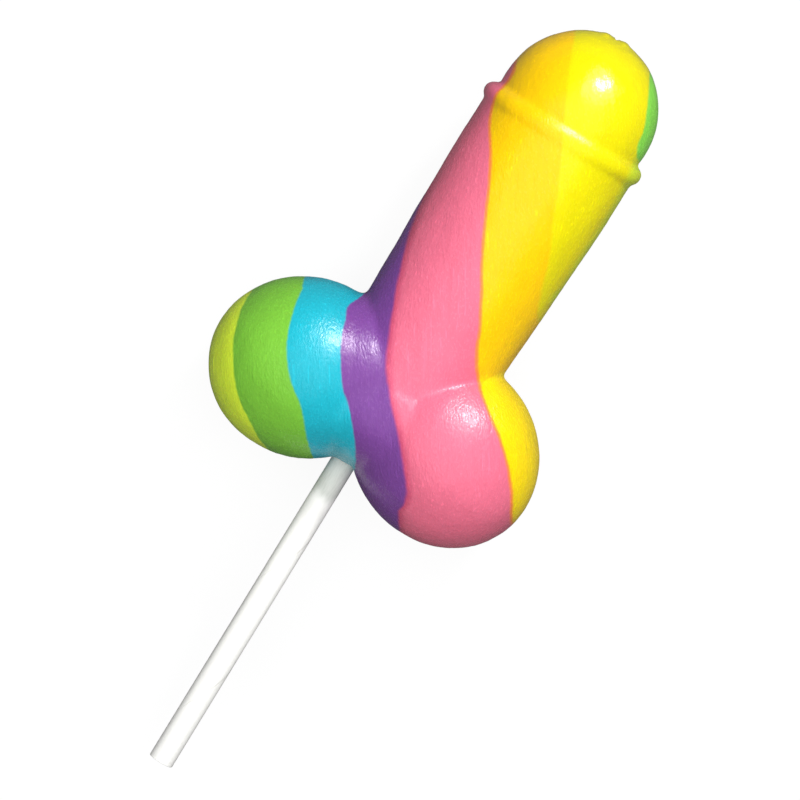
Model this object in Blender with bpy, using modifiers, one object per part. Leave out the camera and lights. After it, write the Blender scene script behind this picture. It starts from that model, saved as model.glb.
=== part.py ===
"""A moulded hard-candy lollipop in the shape of a penis, lying on its back.

The shown side faces +Z, the tip points to +Y, the two balls lie on -X and +X,
and the paper stick leaves between them towards -Y. Lengths are in metres.
The origin is under the middle of the whole, on the surface that it lies on.
"""

import math

import bmesh
import bpy
from mathutils import Matrix, Vector

# The whole
TIP_Y = 0.0662
STICK_END_Y = -0.0662
BALLS_Y = -0.0025
FLAT_DEPTH = 0.00015

# The two balls, left and right: centre from between them, half axes, turn about Z
BALL_HEIGHT_HALF = 0.0146
LEFT_BALL = (Vector((-0.0125, 0.0004, 0.0)), (0.0152, 0.0140), math.radians(18))
RIGHT_BALL = (Vector((0.0123, 0.0007, 0.0)), (0.0156, 0.0142), math.radians(-25))
AXIS_Z = BALL_HEIGHT_HALF - FLAT_DEPTH

# The low bridge between the balls, as half axes
BRIDGE_HALF = Vector((0.0125, 0.0090, 0.0131))

# The shaft, turned about its own axis, measured from between the balls
SHAFT_OFFSET_X = 0.0015
SHAFT_LEAN_PER_LENGTH = 0.0167
ROOT_LENGTH = 0.0085
ROOT_RADIUS = 0.0121
SHAFT_STATIONS = ((0.0160, 0.0123), (0.0270, 0.0127), (0.0345, 0.01295), (0.0420, 0.0131))

# The ridge round the shaft, and the rounded end past it
RIDGE_AT = 0.0517
RIDGE_RADIUS = 0.01385
RIDGE_BEAD = 0.0015
NECK_RADIUS = 0.0121
GLANS_AT = 0.0554
GLANS_RADIUS = 0.0124

# The slit over the tip, between two low lips
SLIT_X = 0.0019
SLIT_HALF = Vector((0.00040, 0.00110, 0.0028))
LIP_HALF = Vector((0.00125, 0.00095, 0.0034))
LIP_RISE = 0.0002

# The stick and the socket that the candy leaves round it
STICK_RADIUS = 0.0020
STICK_LENGTH = 0.1016
STICK_CHAMFER = 0.0002
STICK_GAP = 0.0003

# How finely the candy is faceted, and how far its creases are softened
ROUND_STEPS = 64
SMALL_STEPS = 24
VOXEL = 0.00045
CREASE_ROUNDS = 10
SADDLE_ROUNDS = 60
CANDY_TRIANGLES = 7600

# Bands of colour, each up to this distance along the band direction
BAND_DIRECTION = Vector((0.852, 0.524, 0.0))
BANDS = (
    ("lime", -0.0210, (0.522, 0.665, 0.030)),
    ("green", -0.0128, (0.238, 0.552, 0.058)),
    ("cyan", -0.0047, (0.125, 0.597, 0.787)),
    ("purple", 0.0029, (0.209, 0.079, 0.353)),
    ("pink", 0.0170, (0.888, 0.216, 0.314)),
    ("golden yellow", 0.0280, (0.965, 0.701, 0.001)),
    ("lemon yellow", 0.0415, (0.905, 0.823, 0.001)),
    ("green again", 0.0800, (0.255, 0.558, 0.054)),
)


def empty_scene():
    """Remove whatever the file opens with."""
    for thing in list(bpy.data.objects):
        bpy.data.objects.remove(thing, do_unlink=True)


def collection_named(name):
    """A new collection under the scene's own."""
    made = bpy.data.collections.new(name)
    bpy.context.scene.collection.children.link(made)
    return made


def move_to(thing, collection):
    """Keep an object in one collection only."""
    for old in list(thing.users_collection):
        old.objects.unlink(thing)
    collection.objects.link(thing)


def ellipsoid(name, centre, half_axes, turn=0.0, steps=ROUND_STEPS):
    """A sphere scaled to its half axes, with the scale applied, turned about Z."""
    bpy.ops.mesh.primitive_uv_sphere_add(
        segments=steps,
        ring_count=steps // 2,
        radius=1.0,
        location=centre,
        rotation=(0.0, 0.0, turn),
    )
    thing = bpy.context.active_object
    thing.name = name
    thing.data.transform(Matrix.Diagonal((*half_axes, 1.0)))
    return thing


def evaluated_copy(thing):
    """The object's mesh with its modifiers applied."""
    graph = bpy.context.evaluated_depsgraph_get()
    return bpy.data.meshes.new_from_object(thing.evaluated_get(graph))


def arc(steps, start, end):
    """Angles from start to end, both included."""
    return [start + (end - start) * i / steps for i in range(steps + 1)]


def shaft_profile():
    """The shaft's outline as (radius, station) pairs, from the tip down to its root."""
    glans_length = shaft_length() - GLANS_AT
    outline = []
    neck = math.asin(NECK_RADIUS / GLANS_RADIUS)
    for angle in arc(18, 0.0, math.pi - neck):
        outline.append((GLANS_RADIUS * math.sin(angle), GLANS_AT + glans_length * math.cos(angle)))
    bead_centre = RIDGE_RADIUS - RIDGE_BEAD
    last_station, last_radius = SHAFT_STATIONS[-1]
    above = math.asin((NECK_RADIUS - bead_centre) / RIDGE_BEAD)
    below = math.asin((last_radius - bead_centre) / RIDGE_BEAD)
    for angle in arc(9, above, math.pi - below):
        outline.append(
            (bead_centre + RIDGE_BEAD * math.sin(angle), RIDGE_AT + RIDGE_BEAD * math.cos(angle))
        )
    outline += [(radius, station) for station, radius in reversed(SHAFT_STATIONS)]
    for angle in arc(8, 0.0, math.pi / 2):
        outline.append((ROOT_RADIUS * math.cos(angle), -ROOT_LENGTH * math.sin(angle)))
    return outline


def shaft_length():
    """From between the balls to the tip under its lips, along the shaft."""
    return TIP_Y - LIP_RISE - BALLS_Y


def shaft_drop_per_length():
    """The small slope that brings the ridge down to the surface the balls lie on."""
    return (AXIS_Z - RIDGE_RADIUS + FLAT_DEPTH) / RIDGE_AT


def turned_shaft():
    """The shaft, its ridge and its rounded end: one profile turned about an axis.

    The axis leans to the right and down, while the round sections stay upright.
    """
    mesh = bpy.data.meshes.new("shaft")
    form = bmesh.new()
    corners = [form.verts.new((radius, 0.0, station)) for radius, station in shaft_profile()]
    for upper, lower in zip(corners, corners[1:]):
        form.edges.new((upper, lower))
    form.to_mesh(mesh)
    form.free()
    shaft = bpy.data.objects.new("shaft", mesh)
    bpy.context.scene.collection.objects.link(shaft)
    turn = shaft.modifiers.new("turn", "SCREW")
    turn.steps = ROUND_STEPS
    turn.render_steps = ROUND_STEPS
    turn.use_merge_vertices = True
    turn.merge_threshold = 0.00001
    bake(shaft)
    lean = Matrix.Identity(4)
    lean[0][2] = SHAFT_LEAN_PER_LENGTH
    lean[1][2] = shaft_drop_per_length()
    shaft.data.transform(lean)
    shaft.location = (SHAFT_OFFSET_X, BALLS_Y, AXIS_Z)
    shaft.rotation_euler.x = -math.pi / 2
    bpy.context.view_layer.update()
    return shaft


def tip_height():
    """How high the tip's middle lies."""
    return AXIS_Z - shaft_length() * shaft_drop_per_length()


def tip_x():
    """How far to the right the tip's middle lies."""
    return SHAFT_OFFSET_X + shaft_length() * SHAFT_LEAN_PER_LENGTH


def tip_lips():
    """Two low lips that run front to back over the tip, one each side of the slit."""
    spread = SLIT_HALF.x + LIP_HALF.x * 0.85
    lips = []
    for side in (-1, 1):
        x = SLIT_X + side * spread
        fall = GLANS_RADIUS - math.sqrt(GLANS_RADIUS**2 - (x - tip_x()) ** 2)
        centre = (x, TIP_Y - fall - LIP_HALF.y, tip_height())
        lips.append(ellipsoid("lip", centre, LIP_HALF, steps=SMALL_STEPS))
    return lips


def joined(things, name):
    """One object with the evaluated meshes of several, placed in the world."""
    form = bmesh.new()
    for thing in things:
        mesh = evaluated_copy(thing)
        mesh.transform(thing.matrix_world)
        form.from_mesh(mesh)
        bpy.data.meshes.remove(mesh)
        bpy.data.objects.remove(thing, do_unlink=True)
    whole = bpy.data.meshes.new(name)
    form.to_mesh(whole)
    form.free()
    made = bpy.data.objects.new(name, whole)
    bpy.context.scene.collection.objects.link(made)
    return made


def bake(thing):
    """Put the evaluated mesh in place of the object's own, and drop its modifiers."""
    mesh = evaluated_copy(thing)
    thing.modifiers.clear()
    old = thing.data
    thing.data = mesh
    bpy.data.meshes.remove(old)


def weight_group(thing, name, weight_at):
    """A vertex group whose weights come from a function of the position."""
    group = thing.vertex_groups.new(name=name)
    for corner in thing.data.vertices:
        weight = weight_at(corner.co)
        if weight > 0.0:
            group.add([corner.index], weight, "REPLACE")


def soften(thing, name, rounds):
    """Smooth the corners of one vertex group, this many times."""
    smooth = thing.modifiers.new(name, "SMOOTH")
    smooth.vertex_group = name
    smooth.factor = 0.5
    smooth.iterations = rounds


def crease_weight(point):
    """Full on the balls and the root of the shaft, nothing past them."""
    past = point.y - (BALLS_Y + BALL_HEIGHT_HALF)
    return min(1.0, max(0.0, 1.0 - past / 0.004))


def saddle_weight(point):
    """Full on the front and the back between the balls, fading to all sides."""
    across = abs(point.x - SHAFT_OFFSET_X) / RIGHT_BALL[0].x
    along = abs(point.y - BALLS_Y + 0.001) / (0.8 * BALL_HEIGHT_HALF)
    deep = abs(point.z - AXIS_Z) / BALL_HEIGHT_HALF
    reach = max(0.0, 1.0 - across**2) * max(0.0, 1.0 - along**2)
    return reach * min(1.0, max(0.0, (deep - 0.35) / 0.3))


def candy_form():
    """Balls, bridge, shaft and lips grown together into one body with soft creases."""
    between = Vector((0.0, BALLS_Y, AXIS_Z))
    pieces = [
        ellipsoid("ball", between + centre, (*half_axes, BALL_HEIGHT_HALF), turn)
        for centre, half_axes, turn in (LEFT_BALL, RIGHT_BALL)
    ]
    pieces.append(ellipsoid("bridge", between, BRIDGE_HALF))
    pieces.append(turned_shaft())
    pieces += tip_lips()
    candy = joined(pieces, "candy")
    merge = candy.modifiers.new("merge", "REMESH")
    merge.mode = "VOXEL"
    merge.voxel_size = VOXEL
    bake(candy)
    weight_group(candy, "crease", crease_weight)
    weight_group(candy, "saddle", saddle_weight)
    soften(candy, "crease", CREASE_ROUNDS)
    soften(candy, "saddle", SADDLE_ROUNDS)
    bake(candy)
    candy.vertex_groups.clear()
    thin = candy.modifiers.new("facets", "DECIMATE")
    thin.ratio = CANDY_TRIANGLES / (2 * len(candy.data.polygons))
    bake(candy)
    return candy


def cylinder_along_y(name, radius, start, end):
    """A closed cylinder about the stick's axis, from one Y to another."""
    bpy.ops.mesh.primitive_cylinder_add(
        vertices=ROUND_STEPS // 2,
        radius=radius,
        depth=end - start,
        location=(0.0, (start + end) / 2, AXIS_Z),
        rotation=(math.pi / 2, 0.0, 0.0),
    )
    thing = bpy.context.active_object
    thing.name = name
    return thing


def floor_cutter():
    """A block whose top face is the surface that the candy lies on."""
    depth = 0.01
    bpy.ops.mesh.primitive_cube_add(size=1.0, location=(0.0, 0.0, -depth / 2))
    block = bpy.context.active_object
    block.name = "floor cutter"
    block.data.transform(Matrix.Diagonal((0.2, 0.2, depth, 1.0)))
    return block


def socket_cutter():
    """The blind hole round the stick, open towards -Y."""
    blind_end = STICK_END_Y + STICK_LENGTH + STICK_GAP
    start = BALLS_Y - 2 * BALL_HEIGHT_HALF
    return cylinder_along_y("socket cutter", STICK_RADIUS + STICK_GAP, start, blind_end)


def slit_cutter():
    """A thin lens that runs front to back over the tip."""
    centre = (SLIT_X, TIP_Y, tip_height())
    return ellipsoid("slit cutter", centre, SLIT_HALF, steps=SMALL_STEPS)


def cut(thing, cutter, collection):
    """Take a hidden cutter out of an object."""
    move_to(cutter, collection)
    cutter.hide_render = True
    cutter.display_type = "WIRE"
    change = thing.modifiers.new(cutter.name, "BOOLEAN")
    change.operation = "DIFFERENCE"
    change.object = cutter


def banded_candy_material():
    """Glossy opaque candy whose colour changes in straight bands across the whole."""
    material = bpy.data.materials.new("banded hard candy")
    material.use_nodes = True
    nodes = material.node_tree.nodes
    links = material.node_tree.links
    surface = nodes["Principled BSDF"]
    surface.inputs["Roughness"].default_value = 0.25
    surface.inputs["Metallic"].default_value = 0.0
    place = nodes.new("ShaderNodeTexCoord")
    along = nodes.new("ShaderNodeVectorMath")
    along.operation = "DOT_PRODUCT"
    along.inputs[1].default_value = BAND_DIRECTION
    low, high = -0.04, BANDS[-1][1]
    scaled = nodes.new("ShaderNodeMapRange")
    scaled.inputs["From Min"].default_value = low
    scaled.inputs["From Max"].default_value = high
    colours = nodes.new("ShaderNodeValToRGB")
    ramp = colours.color_ramp
    ramp.interpolation = "CONSTANT"
    start = low
    for index, (_, end, colour) in enumerate(BANDS):
        at = (start - low) / (high - low)
        stop = ramp.elements[0] if index == 0 else ramp.elements.new(at)
        stop.position = at
        stop.color = (*colour, 1.0)
        start = end
    ramp.elements.remove(ramp.elements[-1])
    links.new(place.outputs["Object"], along.inputs[0])
    links.new(along.outputs["Value"], scaled.inputs["Value"])
    links.new(scaled.outputs["Result"], colours.inputs["Fac"])
    links.new(colours.outputs["Color"], surface.inputs["Base Color"])
    return material


def paper_material():
    """Matt white rolled paper."""
    material = bpy.data.materials.new("white rolled paper")
    material.use_nodes = True
    surface = material.node_tree.nodes["Principled BSDF"]
    surface.inputs["Base Color"].default_value = (0.88, 0.88, 0.85, 1.0)
    surface.inputs["Roughness"].default_value = 0.6
    surface.inputs["Metallic"].default_value = 0.0
    return material


def make_candy(parts, cutters):
    """The candy, with its rest flats, its slit and the socket for the stick."""
    candy = candy_form()
    move_to(candy, parts)
    for cutter in (floor_cutter(), slit_cutter(), socket_cutter()):
        cut(candy, cutter, cutters)
    candy.data.shade_smooth()
    candy.data.materials.append(banded_candy_material())


def make_stick(parts):
    """The paper stick, its ends cut square with a trace of a chamfer."""
    stick = cylinder_along_y("stick", STICK_RADIUS, STICK_END_Y, STICK_END_Y + STICK_LENGTH)
    move_to(stick, parts)
    edge = stick.modifiers.new("cut ends", "BEVEL")
    edge.width = STICK_CHAMFER
    edge.segments = 1
    edge.limit_method = "ANGLE"
    stick.data.shade_smooth()
    stick.data.set_sharp_from_angle(angle=math.radians(35))
    stick.data.materials.append(paper_material())


def main():
    empty_scene()
    parts = collection_named("penis lollipop")
    cutters = collection_named("cutters")
    make_candy(parts, cutters)
    make_stick(parts)


main()
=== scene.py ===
# %% [markdown]
# A moulded candy lollipop
# This lesson dresses a finished lollipop: a banded hard candy on a rolled paper stick.
# The solid parts were made elsewhere and come in as a fixed frame. They say where the candy
# and the stick lie and how big they are. Here both get a finer body and a real finish.

# %% Load the frame
import math

import bpy
from mathutils import Matrix, Vector


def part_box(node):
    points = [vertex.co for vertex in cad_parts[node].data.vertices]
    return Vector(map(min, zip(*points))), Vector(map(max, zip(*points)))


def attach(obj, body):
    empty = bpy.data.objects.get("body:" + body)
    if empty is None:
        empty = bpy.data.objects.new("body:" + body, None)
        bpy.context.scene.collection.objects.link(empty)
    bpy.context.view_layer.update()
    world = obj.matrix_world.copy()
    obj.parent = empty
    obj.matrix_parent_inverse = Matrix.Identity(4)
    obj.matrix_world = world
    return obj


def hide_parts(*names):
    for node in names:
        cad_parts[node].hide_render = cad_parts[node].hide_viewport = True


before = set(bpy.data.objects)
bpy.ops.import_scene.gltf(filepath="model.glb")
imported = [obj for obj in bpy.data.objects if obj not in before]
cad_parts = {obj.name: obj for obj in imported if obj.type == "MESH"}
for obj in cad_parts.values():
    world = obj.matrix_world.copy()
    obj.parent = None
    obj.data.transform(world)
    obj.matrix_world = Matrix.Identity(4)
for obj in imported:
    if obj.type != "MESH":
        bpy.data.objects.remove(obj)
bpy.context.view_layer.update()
MM = 0.001
candy_low, candy_high = (Vector(corner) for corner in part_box("candy"))
stick_low, stick_high = (Vector(corner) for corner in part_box("stick"))
print("candy", [round(side / MM, 1) for side in candy_high - candy_low], "mm")
print("stick", [round(side / MM, 1) for side in stick_high - stick_low], "mm")

# %% [markdown]
# Where things are
# The frame gives the stick's axis, its ends, the tip of the candy and the surface it lies on.
# The few sizes that the frame can't give are written once, in metres, under plain names.

# %% Sizes of the candy
STICK_RADIUS = (stick_high.x - stick_low.x) / 2
AXIS_Z = (stick_high.z + stick_low.z) / 2
TIP_Y = candy_high.y
BALLS_Y = -2.5 * MM
BALL_DEPTH = 14.6 * MM
LEFT_BALL = (Vector((-12.5, 0.4, 0.0)) * MM, Vector((15.2, 14.0, 14.6)) * MM, math.radians(18))
RIGHT_BALL = (Vector((12.3, 0.7, 0.0)) * MM, Vector((15.6, 14.2, 14.6)) * MM, math.radians(-25))
BRIDGE = (Vector((0.0, 0.0, 0.0)), Vector((12.5, 9.0, 13.1)) * MM, 0.0)
LEFT_ARM = (Vector((-6.0, 3.5, 0.0)) * MM, Vector((14.0, 12.0, 12.8)) * MM, 0.0)
RIGHT_ARM = (Vector((2.5, 2.0, 0.0)) * MM, Vector((13.0, 10.5, 13.0)) * MM, 0.0)
BETWEEN = Vector((0.0, BALLS_Y, AXIS_Z))
print("middle between the balls", [round(side / MM, 2) for side in BETWEEN], "mm")

# %% [markdown]
# Working with operators
# Every operator acts on what is selected, so the first helper clears the selection, and the
# others start and end an edit. Faces and edges are then picked in code, by their place.

# %% Helpers for operators
def select_only(*things):
    """Select these objects alone, the first of them active."""
    bpy.ops.object.select_all(action="DESELECT")
    for thing in things:
        thing.select_set(True)
    bpy.context.view_layer.objects.active = things[0]


def start_edit(thing, kind="VERT"):
    """Open an object in edit mode with nothing selected."""
    select_only(thing)
    bpy.ops.object.mode_set(mode="EDIT")
    bpy.ops.mesh.select_mode(type=kind)
    bpy.ops.mesh.select_all(action="DESELECT")


def end_edit():
    """Back to object mode."""
    bpy.ops.object.mode_set(mode="OBJECT")


def settle(thing):
    """Put an object's place into its mesh, so that it sits at the origin."""
    select_only(thing)
    bpy.ops.object.transform_apply(location=True, rotation=True, scale=True)


def apply_modifier(thing, name, kind, **settings):
    """Add one modifier, set it and apply it."""
    select_only(thing)
    made = thing.modifiers.new(name, kind)
    for setting, value in settings.items():
        setattr(made, setting, value)
    bpy.ops.object.modifier_apply(modifier=name)


print("helpers ready")

# %% [markdown]
# The two balls and the bridge between them
# The balls are not quite round and not quite alike, so each is a sphere resized to its own half
# axes and turned a little. Three lower, flatter forms fill the dip between them and lead up to
# the shaft, the way soft sugar fills the corners of a mould.

# %% Balls and bridge
def rounded_form(name, centre, half_axes, turn):
    """A sphere resized, turned and moved to its place."""
    bpy.ops.mesh.primitive_uv_sphere_add(segments=96, ring_count=48, radius=1.0)
    made = bpy.context.active_object
    made.name = name
    bpy.ops.transform.resize(value=half_axes)
    settle(made)
    made.rotation_euler.z = turn
    made.location = centre
    settle(made)
    return made


bpy.ops.object.select_all(action="DESELECT")
forms = [
    rounded_form(name, BETWEEN + centre, half_axes, turn)
    for name, (centre, half_axes, turn) in
    (("left_ball", LEFT_BALL), ("right_ball", RIGHT_BALL), ("bridge", BRIDGE),
     ("left_arm", LEFT_ARM), ("right_arm", RIGHT_ARM))
]
print("rounded forms:", [form.name for form in forms])

# %% [markdown]
# The shaft, its ridge and the rounded end
# On the real candy the mould gives the shaft a slight taper, a raised ridge and a dome past it.
# By hand this is a circle pulled out ring by ring: each ring is extruded, moved to its station
# and resized to its radius. The stations follow arcs, so they are worked out and not typed. In
# front the ridge is flatter than at the sides, and the dome past it stands a little proud, so
# a ring also has a sink: how far its front lies below a round ring's.

# %% Stations along the shaft
ROOT_LENGTH, ROOT_RADIUS = 8.5 * MM, 12.1 * MM
SHAFT_STATIONS = ((16.0, 12.3), (27.0, 12.7), (34.5, 12.95), (42.0, 13.1), (48.5, 13.1))
RIDGE_AT, RIDGE_RADIUS, RIDGE_BEAD = 51.7 * MM, 13.9 * MM, 1.5 * MM
RIDGE_SINK, DOME_LIFT = 0.60 * MM, 0.40 * MM
NECK_RADIUS = 12.05 * MM
GLANS_AT, GLANS_RADIUS = 55.4 * MM, 12.4 * MM
LIP_RISE = 0.2 * MM
SHAFT_LENGTH = TIP_Y - LIP_RISE - BALLS_Y


def arc(steps, start, end):
    """Angles from start to end, both included."""
    return [start + (end - start) * i / steps for i in range(steps + 1)]


def shaft_rings():
    """Station, radius and sink of each ring from the root to the tip."""
    rings = [
        (-ROOT_LENGTH * math.cos(a), ROOT_RADIUS * math.sin(a), 0.0)
        for a in arc(12, 0.05, math.pi / 2)
    ]
    rings += [(station * MM, radius * MM, 0.0) for station, radius in SHAFT_STATIONS]
    bead_centre = RIDGE_RADIUS - RIDGE_BEAD
    below = math.asin((SHAFT_STATIONS[-1][1] * MM - bead_centre) / RIDGE_BEAD)
    above = math.pi - math.asin((NECK_RADIUS - bead_centre) / RIDGE_BEAD)
    for a in arc(16, below, above):
        end, sink_there = (below, 0.0) if a < math.pi / 2 else (above, -DOME_LIFT)
        share = (math.sin(a) - math.sin(end)) / (1.0 - math.sin(end))
        sink = sink_there + (RIDGE_SINK - sink_there) * share
        station = RIDGE_AT - RIDGE_BEAD * math.cos(a)
        rings.append((station, bead_centre + RIDGE_BEAD * math.sin(a), sink))
    neck = math.asin(NECK_RADIUS / GLANS_RADIUS)
    for a in arc(30, math.pi - neck, 0.03):
        station = GLANS_AT + (SHAFT_LENGTH - GLANS_AT) * math.cos(a)
        left = (SHAFT_LENGTH - station) / (SHAFT_LENGTH - RIDGE_AT)
        rings.append((station, GLANS_RADIUS * math.sin(a), -DOME_LIFT * min(1.0, left) ** 2))
    return rings


rings = shaft_rings()
print(len(rings), "rings, widest", round(max(radius for _, radius, _ in rings) / MM, 2), "mm")

# %% Pull the shaft out ring by ring
SHAFT_OFFSET_X = 1.5 * MM
SHAFT_LEAN = 0.0167
DOME_SHIFT = 0.1 * MM
SHAFT_DROP = (AXIS_Z - 13.85 * MM + 0.15 * MM) / RIDGE_AT


def shaft_centre(station):
    """The middle of the shaft's section at a station."""
    past = min(1.0, max(0.0, (station - RIDGE_AT) / (3 * MM)))
    x = SHAFT_OFFSET_X + SHAFT_LEAN * station + DOME_SHIFT * past
    return Vector((x, BALLS_Y + station, AXIS_Z - SHAFT_DROP * station))


def ring_middle(ring):
    """The middle of a ring, below the shaft's own where the front is sunk."""
    return shaft_centre(ring[0]) - Vector((0.0, 0.0, ring[2] / 2))


def pulled_shaft(name):
    """A circle extruded through every ring, and closed at both ends."""
    station, radius, _ = rings[0]
    bpy.ops.mesh.primitive_circle_add(
        vertices=128, radius=radius, fill_type="TRIFAN",
        location=shaft_centre(station), rotation=(math.pi / 2, 0.0, 0.0),
    )
    made = bpy.context.active_object
    made.name = name
    settle(made)
    start_edit(made)
    bpy.ops.mesh.select_all(action="SELECT")
    for old, new in zip(rings, rings[1:]):
        step = ring_middle(new) - ring_middle(old)
        bpy.ops.mesh.extrude_region_move(TRANSFORM_OT_translate={"value": step})
        width = new[1] / old[1]
        depth = (new[1] - new[2] / 2) / (old[1] - old[2] / 2)
        bpy.ops.transform.resize(value=(width, 1.0, depth), center_override=ring_middle(new))
    bpy.ops.mesh.select_all(action="SELECT")
    bpy.ops.mesh.normals_make_consistent(inside=False)
    end_edit()
    return made


forms.append(pulled_shaft("shaft"))
print("shaft", [round(side / MM, 1) for side in forms[-1].dimensions], "mm")

# %% [markdown]
# Lips at the tip
# Two low lips run front to back over the tip, and a thin slit lies between them. The lips are
# grown into the body now. The slit is cut later, so that it stays crisp.

# %% Lips
SLIT_X = 1.93 * MM
SLIT_HALF = Vector((0.38, 1.1, 2.8)) * MM
LIP_HALF = Vector((1.25, 0.95, 3.4)) * MM
tip = shaft_centre(SHAFT_LENGTH)
for side in (-1, 1):
    lip_x = SLIT_X + side * (SLIT_HALF.x + 0.85 * LIP_HALF.x)
    fall = GLANS_RADIUS - math.sqrt(GLANS_RADIUS**2 - (lip_x - tip.x) ** 2)
    lip_at = Vector((lip_x, TIP_Y - fall - LIP_HALF.y, tip.z))
    forms.append(rounded_form("lip", lip_at, LIP_HALF, 0.0))
print("tip at", [round(side / MM, 2) for side in tip], "mm")

# %% [markdown]
# One body from all the forms
# A mould gives one skin with soft creases. Joining the forms and remeshing them as voxels makes
# that skin, and smoothing only the root of the shaft keeps the ridge crisp.

# %% Grow the forms together
VOXEL = 0.365 * MM

select_only(*forms)
bpy.ops.object.join()
candy = bpy.context.active_object
candy.name = "candy_body"
apply_modifier(candy, "one skin", "REMESH", mode="VOXEL", voxel_size=VOXEL)
print("one skin of", len(candy.data.polygons), "faces")

# %% Soften the creases
def weigh(thing, name, weight_at):
    """A vertex group whose weights follow the position."""
    group = thing.vertex_groups.new(name=name)
    for corner in thing.data.vertices:
        weight = weight_at(corner.co)
        if weight > 0.0:
            group.add([corner.index], weight, "REPLACE")


def crease_weight(point):
    """Full on the left ball and the root, less where the right crease stays crisp."""
    side = min(1.0, max(0.35, 0.6 - point.x / (6 * MM)))
    return side * min(1.0, max(0.0, 1.0 - (point.y - BALLS_Y - BALL_DEPTH) / (4 * MM)))


def saddle_weight(point):
    """Full on the front and the back between the balls, fading to all sides."""
    across = abs(point.x - SHAFT_OFFSET_X) / RIGHT_BALL[0].x
    along = abs(point.y - BALLS_Y + 4 * MM) / (0.6 * BALL_DEPTH)
    deep = abs(point.z - AXIS_Z) / BALL_DEPTH
    reach = max(0.0, 1.0 - across**2) * max(0.0, 1.0 - along**2)
    return reach * min(1.0, max(0.0, (deep - 0.35) / 0.3))


weigh(candy, "crease", crease_weight)
weigh(candy, "saddle", saddle_weight)
apply_modifier(candy, "skin", "SMOOTH", factor=0.5, iterations=3)
apply_modifier(candy, "crease", "SMOOTH", vertex_group="crease", factor=0.5, iterations=14)
apply_modifier(candy, "saddle", "SMOOTH", vertex_group="saddle", factor=0.5, iterations=88)
candy.vertex_groups.clear()
print("softened,", [round(side / MM, 2) for side in candy.dimensions], "mm")

# %% [markdown]
# Pull marks
# Hard candy is pulled into ropes before it is pressed, which leaves faint ridges along the
# bands, under a tenth of a millimetre deep, and wider swells of a fifth. They are real relief,
# so they are made with Displace. An empty, long along the bands and short across them, stretches its texture.

# %% Faint relief along the bands
BAND_TURN = math.radians(31.6)


def relief(name, kind, size, across, along, depth, **settings):
    """Displace the candy by a texture stretched along the bands."""
    texture = bpy.data.textures.new(name, kind)
    texture.noise_scale = size
    for setting, value in settings.items():
        setattr(texture, setting, value)
    bpy.ops.object.empty_add(rotation=(0.0, 0.0, BAND_TURN), scale=(across, along, across))
    guide = bpy.context.active_object
    guide.scale = (across, along, across)
    bpy.context.view_layer.update()
    apply_modifier(
        candy, name, "DISPLACE", texture=texture, texture_coords="OBJECT",
        texture_coords_object=guide, strength=depth, mid_level=0.5,
    )
    bpy.data.objects.remove(guide, do_unlink=True)


relief("pull marks", "CLOUDS", 0.25, 3.4 * MM, 26 * MM, 0.07 * MM, noise_depth=1)
relief("dull swells", "CLOUDS", 0.25, 22 * MM, 30 * MM, 0.20 * MM, noise_depth=1)
print("relief done,", [round(side / MM, 2) for side in candy.dimensions], "mm")

# %% [markdown]
# Cuts
# The slit and the stick's hole are cut with Boolean modifiers. The candy closes on the stick,
# so the hole is only a hair wider than the stick. Points that a cut leaves almost on top of each
# other are merged. Last, a bisect leaves the flat spots on which the candy rests.

# %% Slit, socket and rest flats
def cut_out(cutter):
    """Take a cutter out of the candy and remove the cutter."""
    apply_modifier(candy, cutter.name, "BOOLEAN", operation="DIFFERENCE", object=cutter)
    bpy.data.objects.remove(cutter, do_unlink=True)


cut_out(rounded_form("slit", Vector((SLIT_X, TIP_Y, tip.z)), SLIT_HALF, 0.0))
HAIR = 0.02 * MM
socket_start, socket_end = BALLS_Y - 20 * MM, stick_high.y + 0.3 * MM
bpy.ops.mesh.primitive_cylinder_add(
    vertices=96, radius=STICK_RADIUS + HAIR, depth=socket_end - socket_start,
    location=(0.0, (socket_start + socket_end) / 2, AXIS_Z), rotation=(math.pi / 2, 0.0, 0.0),
)
bpy.context.active_object.name = "socket"
cut_out(bpy.context.active_object)
SLIVER = 0.002 * MM
start_edit(candy)
bpy.ops.mesh.select_all(action="SELECT")
bpy.ops.mesh.remove_doubles(threshold=SLIVER)
bpy.ops.mesh.select_all(action="SELECT")
bpy.ops.mesh.bisect(
    plane_co=(0.0, 0.0, candy_low.z), plane_no=(0.0, 0.0, 1.0),
    use_fill=True, clear_inner=True, threshold=0.001 * MM,
)
end_edit()
select_only(candy)
bpy.ops.object.shade_smooth_by_angle(angle=math.radians(50))
print("candy has", len(candy.data.polygons), "faces")

# %% [markdown]
# The paper stick
# It is paper rolled tight round itself and cut square. The stick is a long cylinder, its ends
# are softened with a bevel, and the cut faces get shallow rings, one for each few turns of the
# roll.

# %% Rolled paper stick
END_BEVEL = 0.12 * MM
RING_COUNT, RING_UP, RING_DOWN = 7, 0.03 * MM, -0.05 * MM
stick_length = stick_high.y - stick_low.y
bpy.ops.mesh.primitive_cylinder_add(
    vertices=96, radius=STICK_RADIUS, depth=stick_length,
    location=(0.0, (stick_low.y + stick_high.y) / 2, AXIS_Z), rotation=(math.pi / 2, 0.0, 0.0),
)
stick = bpy.context.active_object
stick.name = "paper_stick"
settle(stick)
apply_modifier(
    stick, "soft ends", "BEVEL", width=END_BEVEL, segments=3, limit_method="ANGLE",
)
start_edit(stick, "FACE")
end_edit()
for face in stick.data.polygons:
    face.select = len(face.vertices) == 96
bpy.ops.object.mode_set(mode="EDIT")
ring = STICK_RADIUS / 9
for turn in range(RING_COUNT):
    lift = RING_UP if turn % 2 else RING_DOWN
    bpy.ops.mesh.inset(thickness=ring * 0.35, depth=0.0)
    bpy.ops.mesh.inset(thickness=ring * 0.65, depth=lift)
end_edit()
select_only(stick)
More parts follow.
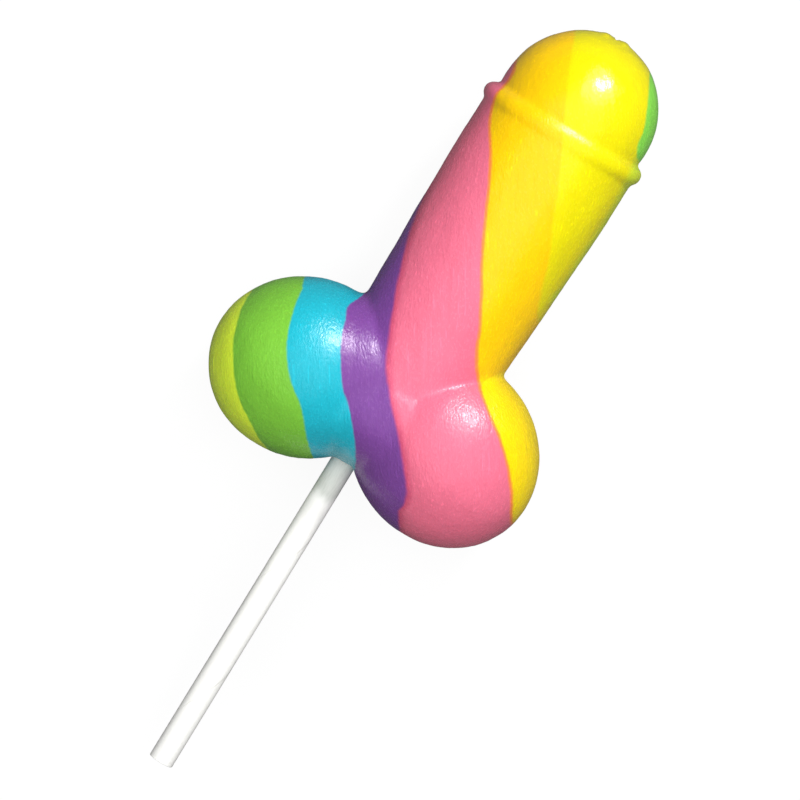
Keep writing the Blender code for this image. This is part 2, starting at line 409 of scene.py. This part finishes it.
bpy.ops.object.shade_smooth_by_angle(angle=math.radians(50))
print("stick has", len(stick.data.polygons), "faces")

# %% [markdown]
# Building materials from nodes
# Each material reads Object coordinates. A small helper adds a node, sets it and links its
# inputs, so that the recipes below stay short enough to read.

# %% Node helpers
def put(tree, kind, inputs=None, **settings):
    """Add a node, set its options, and link or set its inputs."""
    made = tree.nodes.new(kind)
    for setting, value in settings.items():
        setattr(made, setting, value)
    for key, value in (inputs or {}).items():
        if isinstance(value, bpy.types.NodeSocket):
            tree.links.new(value, made.inputs[key])
        else:
            made.inputs[key].default_value = value
    return made


def calc(tree, operation, first, second=0.0, third=0.0):
    """One step of arithmetic."""
    values = {0: first, 1: second, 2: third}
    return put(tree, "ShaderNodeMath", values, operation=operation).outputs[0]


def smooth_step(tree, value, low, high):
    """From 0 to 1 between two values, easing in and out."""
    made = put(
        tree, "ShaderNodeMapRange", {"Value": value, "From Min": low, "From Max": high},
        interpolation_type="SMOOTHSTEP",
    )
    return made.outputs["Result"]


def blend(tree, mask, below, above):
    """Mix two colours by a mask."""
    made = put(
        tree, "ShaderNodeMix", {"Factor": mask, "A": below, "B": above}, data_type="RGBA"
    )
    return made.outputs["Result"]


def fresh_material(name):
    """A material with its node tree and its surface shader."""
    material = bpy.data.materials.new(name)
    material.use_nodes = True
    return material, material.node_tree, material.node_tree.nodes["Principled BSDF"]


print("node helpers ready")

# %% [markdown]
# Grain that both materials share
# Pulled sugar and rolled paper both show a grain that is long one way and short the other. One
# node group makes it for both: stretched noise, given out as a value from 0 to 1.

# %% Stretched grain group
def grain_group():
    """Noise stretched along Y, from a place in millimetres."""
    group = bpy.data.node_groups.new("stretched grain", "ShaderNodeTree")
    face = group.interface
    face.new_socket(name="Place", in_out="INPUT", socket_type="NodeSocketVector")
    for name, value in (("Width", 0.5), ("Length", 3.0), ("Detail", 2.0), ("Contrast", 1.0)):
        socket = face.new_socket(name=name, in_out="INPUT", socket_type="NodeSocketFloat")
        socket.default_value = value
    face.new_socket(name="Grain", in_out="OUTPUT", socket_type="NodeSocketFloat")
    inside = put(group, "NodeGroupInput").outputs
    short, long = (calc(group, "DIVIDE", 1.0, inside[name]) for name in ("Width", "Length"))
    stretch = put(group, "ShaderNodeCombineXYZ", {"X": short, "Y": long, "Z": short})
    place = put(
        group, "ShaderNodeVectorMath", {0: inside["Place"], 1: stretch.outputs[0]},
        operation="MULTIPLY",
    )
    noise = put(
        group, "ShaderNodeTexNoise",
        {"Vector": place.outputs[0], "Scale": 1.0, "Detail": inside["Detail"]},
    )
    centred = calc(group, "SUBTRACT", noise.outputs["Fac"], 0.5)
    level = calc(group, "MULTIPLY_ADD", centred, inside["Contrast"], 0.5)
    made = put(group, "NodeGroupOutput", {"Grain": level})
    made.is_active_output = True
    return group


GRAIN = grain_group()


def grain(tree, place, width, length, detail=2.0, contrast=1.0):
    """Place the grain group in a material."""
    made = tree.nodes.new("ShaderNodeGroup")
    made.node_tree = GRAIN
    tree.links.new(place, made.inputs["Place"])
    values = {"Width": width, "Length": length, "Detail": detail, "Contrast": contrast}
    for name, value in values.items():
        made.inputs[name].default_value = value
    return made.outputs["Grain"]


print("grain group has", len(GRAIN.nodes), "nodes")

# %% [markdown]
# The colour bands
# The candy is laid up from strips of coloured sugar, so the bands run right through it. They
# would be straight slabs if the mould hadn't pushed the sugar into the balls, so each border
# is a gentle curve. Two bands are painted light and shade: a lighter gold over the right ball
# is painted light, and a greener rim on the shaft's right flank is painted shade. A point of a
# border says how far up along the bands and how far across it lies, in millimetres from the
# middle between the balls.

# %% Borders and colours of the bands
PURPLE_TO_PINK = (
    (-14.5, 4.0), (-12.5, 5.3), (-10.1, 5.4), (-3.2, 4.4), (3.6, 3.0), (8.1, 2.5), (12.5, 2.9),
    (17.1, 3.5), (21.5, 4.3), (28.5, 6.0), (36, 9.0),
)
PINK_TO_GOLD = (
    (-15, 21.3), (-9, 21.2), (-5, 20.3), (-1.1, 18.9), (3.3, 17.0), (6.8, 16.2), (14.5, 16.8),
    (26.5, 17.3), (37.5, 18.4), (49, 19.2), (50.4, 20.5), (51.5, 21.3), (53, 21.9), (56, 22.0),
)
# Painted light: the border of a lighter gold over the right ball, where the same gold sugar is brighter lit.
PAINTED_LIT_GOLD_BORDER = (
    (-15, 21.3), (-9, 21.2), (-5, 20.3), (-1.1, 18.9), (3.3, 17.0), (5.0, 16.8), (9.0, 46.0),
    (14.0, 60.0),
)
# Each band: its name, its colour, how soft its border is, how far the border is shifted across,
# and the border's points.
BANDS = (
    ("green", (0.195, 0.530, 0.045), 0.4, 0.0,
     ((-9, -13.5), (-4, -17.1), (-1.3, -18.3), (3.5, -20.2), (9, -21.0), (14.5, -20.5),
      (19.5, -18.3))),
    ("cyan", (0.012, 0.430, 0.540), 0.4, 0.0,
     ((-6.5, -9.2), (-3.5, -9.7), (1.4, -10.3), (6, -11.9), (10.5, -12.5), (15, -12.0),
      (19.5, -10.5))),
    ("purple", (0.190, 0.060, 0.295), 0.4, 0.0,
     ((-10.5, -3.4), (-5.9, -2.4), (-1, -2.7), (5.9, -4.2), (10.5, -4.4), (14.9, -3.8), (17, -3.4),
      (17.6, -2.4), (18.5, -1.3), (20.5, -2.0), (24, -4.0))),
    ("crimson edge", (0.600, 0.080, 0.170), 0.7, 0.0, PURPLE_TO_PINK),
    ("pink", (0.790, 0.160, 0.255), 1.5, 0.7, PURPLE_TO_PINK),
    ("orange edge", (0.900, 0.240, 0.050), 0.45, -0.25, PINK_TO_GOLD),
    ("gold", (0.890, 0.560, 0.001), 0.45, 0.2, PINK_TO_GOLD),
    # Painted light: the right ball's gold, painted lighter than the shaft's gold for its brighter light.
    ("painted lit gold", (0.900, 0.670, 0.001), 0.45, 0.2, PAINTED_LIT_GOLD_BORDER),
    ("lemon", (0.750, 0.670, 0.001), 0.8, 0.0,
     ((6, 31.0), (12, 26.0), (14.7, 25.4), (23.9, 27.2), (28.5, 27.7), (37.5, 29.0), (49, 30.0),
      (58, 31.1))),
    # Painted shade: a greener, darker yellow along the shaft's right flank, where the lemon turns away from
    # the light.
    ("lime painted rim shade", (0.620, 0.760, 0.020), 1.6, 0.0,
     ((12, 40.0), (17, 27.5), (20, 29.6), (23.2, 31.4), (29.4, 35.5), (32.5, 37.3), (35.6, 38.8),
      (38.6, 40.2), (46, 44.0))),
    ("second green", (0.230, 0.680, 0.070), 0.4, 0.0,
     ((20, 52.0), (34, 45.0), (39.5, 40.6), (44.3, 41.8), (48.8, 42.3), (55, 42.6))),
)
FIRST_COLOUR = (0.720, 0.940, 0.045)
SPAN, START = 100.0, -30.0


def border_curve(tree, up, points):
    """How far across the border is, at each height along the bands."""
    share = calc(tree, "DIVIDE", calc(tree, "SUBTRACT", up, START), SPAN)
    made = put(tree, "ShaderNodeFloatCurve", {"Value": share})
    made.mapping.extend = "HORIZONTAL"
    curve = made.mapping.curves[0]
    shares = [[(value - START) / SPAN for value in point] for point in points]
    curve.points[0].location, curve.points[1].location = shares[0], shares[-1]
    for x, y in shares[1:-1]:
        curve.points.new(x, y)
    made.mapping.update()
    return calc(tree, "MULTIPLY_ADD", made.outputs["Value"], SPAN, START)


def border_group():
    """From 0 to 1 across a border, over a narrow soft edge."""
    group = bpy.data.node_groups.new("band border", "ShaderNodeTree")
    for name in ("Across", "Border", "Softness"):
        group.interface.new_socket(name=name, in_out="INPUT", socket_type="NodeSocketFloat")
    group.interface.new_socket(name="Mask", in_out="OUTPUT", socket_type="NodeSocketFloat")
    inside = put(group, "NodeGroupInput").outputs
    past = calc(group, "SUBTRACT", inside["Across"], inside["Border"])
    edge = smooth_step(group, calc(group, "DIVIDE", past, inside["Softness"]), -0.5, 0.5)
    put(group, "NodeGroupOutput", {"Mask": edge}).is_active_output = True
    return group


BORDER = border_group()
print(len(BANDS) + 1, "bands")

# %% [markdown]
# The candy's finish
# Boiled sugar that has been pulled is opaque and glossy, but not like glass: fine marks along
# the bands break its highlights into sparkles, less so past the ridge, where the mould is
# smoother. So the base colour carries faint streaks and a few pale hairlines, and a
# fine grain drives both the roughness and a shallow bump.

# %% Candy material
POLISHED_FROM, POLISHED_FULL = 46.0, 50.0


def banded_colour(tree, across, up):
    """The colour of every band, each laid over the ones before it."""
    colour = (*FIRST_COLOUR, 1.0)
    for _, above, softness, shift, points in BANDS:
        edge = tree.nodes.new("ShaderNodeGroup")
        edge.node_tree = BORDER
        tree.links.new(calc(tree, "SUBTRACT", across, shift), edge.inputs["Across"])
        tree.links.new(border_curve(tree, up, points), edge.inputs["Border"])
        edge.inputs["Softness"].default_value = softness
        colour = blend(tree, edge.outputs["Mask"], colour, (*above, 1.0))
    return colour


def candy_material():
    """Banded, glossy, faintly streaked pulled sugar."""
    material, tree, surface = fresh_material("banded hard candy")
    middle = Matrix.Rotation(-BAND_TURN, 3, "Z") @ BETWEEN
    place = put(
        tree, "ShaderNodeMapping",
        {"Vector": put(tree, "ShaderNodeTexCoord").outputs["Object"], "Location": -middle / MM,
         "Rotation": (0.0, 0.0, -BAND_TURN), "Scale": (1 / MM, 1 / MM, 1 / MM)},
    ).outputs[0]
    parts = put(tree, "ShaderNodeSeparateXYZ", {0: place}).outputs
    wobble = grain(tree, place, 1.6, 5.0)
    fray = grain(tree, place, 0.22, 1.2)
    across = calc(tree, "MULTIPLY_ADD", calc(tree, "SUBTRACT", wobble, 0.5), 0.45, parts["X"])
    across = calc(tree, "MULTIPLY_ADD", calc(tree, "SUBTRACT", fray, 0.5), 0.22, across)
    colour = banded_colour(tree, across, parts["Y"])
    streaks = grain(tree, place, 0.32, 11.0, 3.0)
    clouds = grain(tree, place, 5.0, 9.0)
    pebbles = grain(tree, place, 0.32, 0.62, 2.0)
    hairs = smooth_step(tree, grain(tree, place, 0.30, 24.0, 1.0), 0.66, 0.72)
    shade = calc(tree, "MULTIPLY_ADD", streaks, 0.20, 0.90)
    shade = calc(tree, "MULTIPLY", shade, calc(tree, "MULTIPLY_ADD", clouds, 0.12, 0.94))
    shade = calc(tree, "MULTIPLY", shade, calc(tree, "MULTIPLY_ADD", pebbles, 0.08, 0.96))
    shade = calc(tree, "MULTIPLY", shade, calc(tree, "MULTIPLY_ADD", hairs, 0.22, 1.0))
    toned = put(tree, "ShaderNodeVectorMath", {0: colour, "Scale": shade}, operation="SCALE")
    tree.links.new(toned.outputs[0], surface.inputs["Base Color"])
    polish = smooth_step(tree, parts["Y"], POLISHED_FROM, POLISHED_FULL)
    rough = calc(tree, "MULTIPLY_ADD", pebbles, 0.24, 0.13)
    rough = calc(tree, "MULTIPLY", rough, calc(tree, "MULTIPLY_ADD", polish, -0.4, 1.0))
    tree.links.new(rough, surface.inputs["Roughness"])
    height = calc(tree, "MULTIPLY_ADD", streaks, 0.55, pebbles)
    height = calc(tree, "MULTIPLY", height, calc(tree, "MULTIPLY_ADD", polish, -0.5, 1.0))
    bump = put(tree, "ShaderNodeBump", {"Height": height, "Distance": 0.07 * MM, "Strength": 1.0})
    tree.links.new(bump.outputs[0], surface.inputs["Normal"])
    surface.inputs["IOR"].default_value = 1.48
    surface.inputs["Subsurface Weight"].default_value = 0.08
    surface.inputs["Subsurface Radius"].default_value = (1.0, 0.6, 0.5)
    surface.inputs["Subsurface Scale"].default_value = 0.6 * MM
    return material


candy.data.materials.clear()
candy.data.materials.append(candy_material())
print("candy material has", len(candy.data.materials[0].node_tree.nodes), "nodes")

# %% [markdown]
# The paper's finish
# The stick is bright, matt and a touch warm. Fibres show as a faint grain along it, and the
# free edge of the paper winds round it as one thin line. The last few millimetres before the
# candy are painted greyer, a painted shadow of the candy on the stick.

# %% Paper material
# Painted shadow: where the candy's painted shadow on the stick begins, in millimetres along it.
PAINTED_SHADOW_FROM = (BETWEEN.y - 14.5 * MM) / MM
WINDING_PITCH = 24


def paper_material():
    """Matt rolled paper with a fine grain and a winding edge."""
    material, tree, surface = fresh_material("white rolled paper")
    place = put(
        tree, "ShaderNodeMapping",
        {"Vector": put(tree, "ShaderNodeTexCoord").outputs["Object"],
         "Location": (0.0, 0.0, -AXIS_Z / MM), "Scale": (1 / MM, 1 / MM, 1 / MM)},
    ).outputs[0]
    parts = put(tree, "ShaderNodeSeparateXYZ", {0: place}).outputs
    turn = calc(tree, "DIVIDE", calc(tree, "ARCTAN2", parts["Z"], parts["X"]), 2 * math.pi)
    winding = calc(tree, "FRACT", calc(tree, "MULTIPLY_ADD", parts["Y"], 1 / WINDING_PITCH, turn))
    edge = smooth_step(tree, winding, 0.0, 0.022)
    fibres = grain(tree, place, 0.18, 1.4, 3.0)
    clouds = grain(tree, place, 2.2, 5.0)
    tone = calc(tree, "MULTIPLY_ADD", fibres, 0.10, calc(tree, "MULTIPLY", clouds, 0.08))
    colour = blend(tree, tone, (0.96, 0.96, 0.935, 1.0), (0.78, 0.76, 0.66, 1.0))
    colour = blend(tree, calc(tree, "MULTIPLY", calc(tree, "SUBTRACT", 1.0, edge), 0.35),
                   colour, (0.62, 0.60, 0.54, 1.0))
    # Painted shadow: the paper is painted greyer over the last millimetres before the candy, where its shadow
    # falls.
    wandering = calc(tree, "MULTIPLY_ADD", clouds, 3.0, parts["Y"])
    painted_shadow_mask = smooth_step(tree, wandering, PAINTED_SHADOW_FROM, PAINTED_SHADOW_FROM + 2.0)
    painted_shadow_depth = calc(tree, "MULTIPLY", painted_shadow_mask, calc(tree, "MULTIPLY_ADD", fibres, 0.5, 0.45))
    colour = blend(tree, painted_shadow_depth, colour, (0.47, 0.50, 0.45, 1.0))
    tree.links.new(colour, surface.inputs["Base Color"])
    tree.links.new(calc(tree, "MULTIPLY_ADD", fibres, 0.25, 0.5), surface.inputs["Roughness"])
    height = calc(tree, "MULTIPLY_ADD", fibres, 0.35, edge)
    bump = put(tree, "ShaderNodeBump", {"Height": height, "Distance": 0.05 * MM, "Strength": 0.7})
    tree.links.new(bump.outputs[0], surface.inputs["Normal"])
    return material


stick.data.materials.clear()
stick.data.materials.append(paper_material())
print("paper material has", len(stick.data.materials[0].node_tree.nodes), "nodes")

# %% [markdown]
# Fit the pieces to the frame
# Each piece rides on the frame's one body, and the solid that it stands for is hidden.

# %% Pieces and the frame
for piece, node in ((candy, "candy"), (stick, "stick")):
    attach(piece, "root")
    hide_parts(node)
print("pieces ride on root")

# %% [markdown]
# The floor
# The floor is plain and pale. To the camera it is almost white, with only a faint shadow, and
# to bounced light it is dim, so that the undersides of the balls stay deep in colour.

# %% Floor
FLOOR_GLOW, FLOOR_BOUNCE = 0.92, 0.12

bpy.ops.object.select_all(action="DESELECT")
bpy.ops.mesh.primitive_plane_add(size=6.0, location=(0.0, 0.0, candy_low.z))
floor = bpy.context.active_object
floor.name = "floor"
floor_material, floor_tree, seen_floor = fresh_material("pale floor")
seen_floor.inputs["Base Color"].default_value = (0.08, 0.08, 0.08, 1.0)
seen_floor.inputs["Roughness"].default_value = 0.9
seen_floor.inputs["Specular IOR Level"].default_value = 0.0
seen_floor.inputs["Emission Color"].default_value = (1.0, 1.0, 1.0, 1.0)
seen_floor.inputs["Emission Strength"].default_value = FLOOR_GLOW
dim_floor = put(floor_tree, "ShaderNodeBsdfDiffuse", {"Color": (FLOOR_BOUNCE,) * 3 + (1.0,)})
both = put(
    floor_tree, "ShaderNodeMixShader",
    {0: put(floor_tree, "ShaderNodeLightPath").outputs["Is Camera Ray"],
     1: dim_floor.outputs[0], 2: seen_floor.outputs[0]},
)
floor_tree.links.new(both.outputs[0], floor_tree.nodes["Material Output"].inputs["Surface"])
floor.data.materials.append(floor_material)
print("floor at", candy_low.z)

# %% [markdown]
# Light
# A wide soft light hangs above, near the camera, and shows the colours. Its own reflection would
# lay a pale veil over them, so it is kept out of glossy rays. A smaller light stands low beyond
# the tip: it puts a highlight on the shoulder of each ball and leaves their lower sides in more
# shade. A panel round it is seen in reflections alone and spreads each highlight into a haze of
# sparkles. The world adds a little from all sides.

# %% Lights
MIDDLE = (candy_low + candy_high) / 2


def softbox(name, direction, distance, size, power):
    """A square area light that faces the candy."""
    place = MIDDLE + Vector(direction).normalized() * distance
    bpy.ops.object.light_add(type="AREA", location=place)
    made = bpy.context.active_object
    made.name = name
    made.data.size = size
    made.data.energy = power
    made.rotation_euler = (made.location - MIDDLE).to_track_quat("Z", "Y").to_euler()
    made.visible_camera = False
    return made


softbox("low softbox", (0.14, 0.84, 0.53), 0.6, 0.11, 2.3)
wide_softbox = softbox("wide softbox", (0.06, 0.08, 0.98), 1.1, 1.5, 19.5)
wide_softbox.visible_glossy = False
gloss_panel = softbox("gloss panel", (0.14, 0.79, 0.60), 0.7, 0.50, 2.8)
gloss_panel.visible_diffuse = False
world = bpy.data.worlds.new("soft room")
bpy.context.scene.world = world
world.use_nodes = True
air = world.node_tree
sky = air.nodes["Background"]
sky.inputs["Color"].default_value = (1.0, 1.0, 1.0, 1.0)
ROOM_GLOW = 0.13
glow = put(
    air, "ShaderNodeMix",
    {"Factor": put(air, "ShaderNodeLightPath").outputs["Is Camera Ray"], "A": ROOM_GLOW, "B": 1.0},
)
air.links.new(glow.outputs["Result"], sky.inputs["Strength"])

# %% [markdown]
# The camera
# It looks down from a metre away, a little from the side of the tip, and is rolled so that the
# stick slants across the picture. Its lens follows from the pixels that a metre would take up.

# %% Camera
CAMERA_DISTANCE = 1.0
CAMERA_TILT = math.radians(5.3)
CAMERA_ROLL = math.radians(90 - 58.55)
PIXELS_PER_METRE = 6492
PHOTO_WIDTH = 800
AIM = BETWEEN + Vector((2.45, 3.63, -0.12)) * MM

bpy.ops.object.camera_add()
camera = bpy.context.active_object
camera.name = "photo camera"
camera.data.lens = camera.data.sensor_width * PIXELS_PER_METRE * CAMERA_DISTANCE / PHOTO_WIDTH
back = Vector((0.0, math.sin(CAMERA_TILT), math.cos(CAMERA_TILT)))
camera.matrix_world = (
    Matrix.Translation(AIM + back * CAMERA_DISTANCE)
    @ Matrix.Rotation(-CAMERA_TILT, 4, "X") @ Matrix.Rotation(CAMERA_ROLL, 4, "Z")
)
bpy.context.scene.camera = camera
bpy.context.scene.view_settings.view_transform = "Standard"
print("camera lens", round(camera.data.lens), "mm")
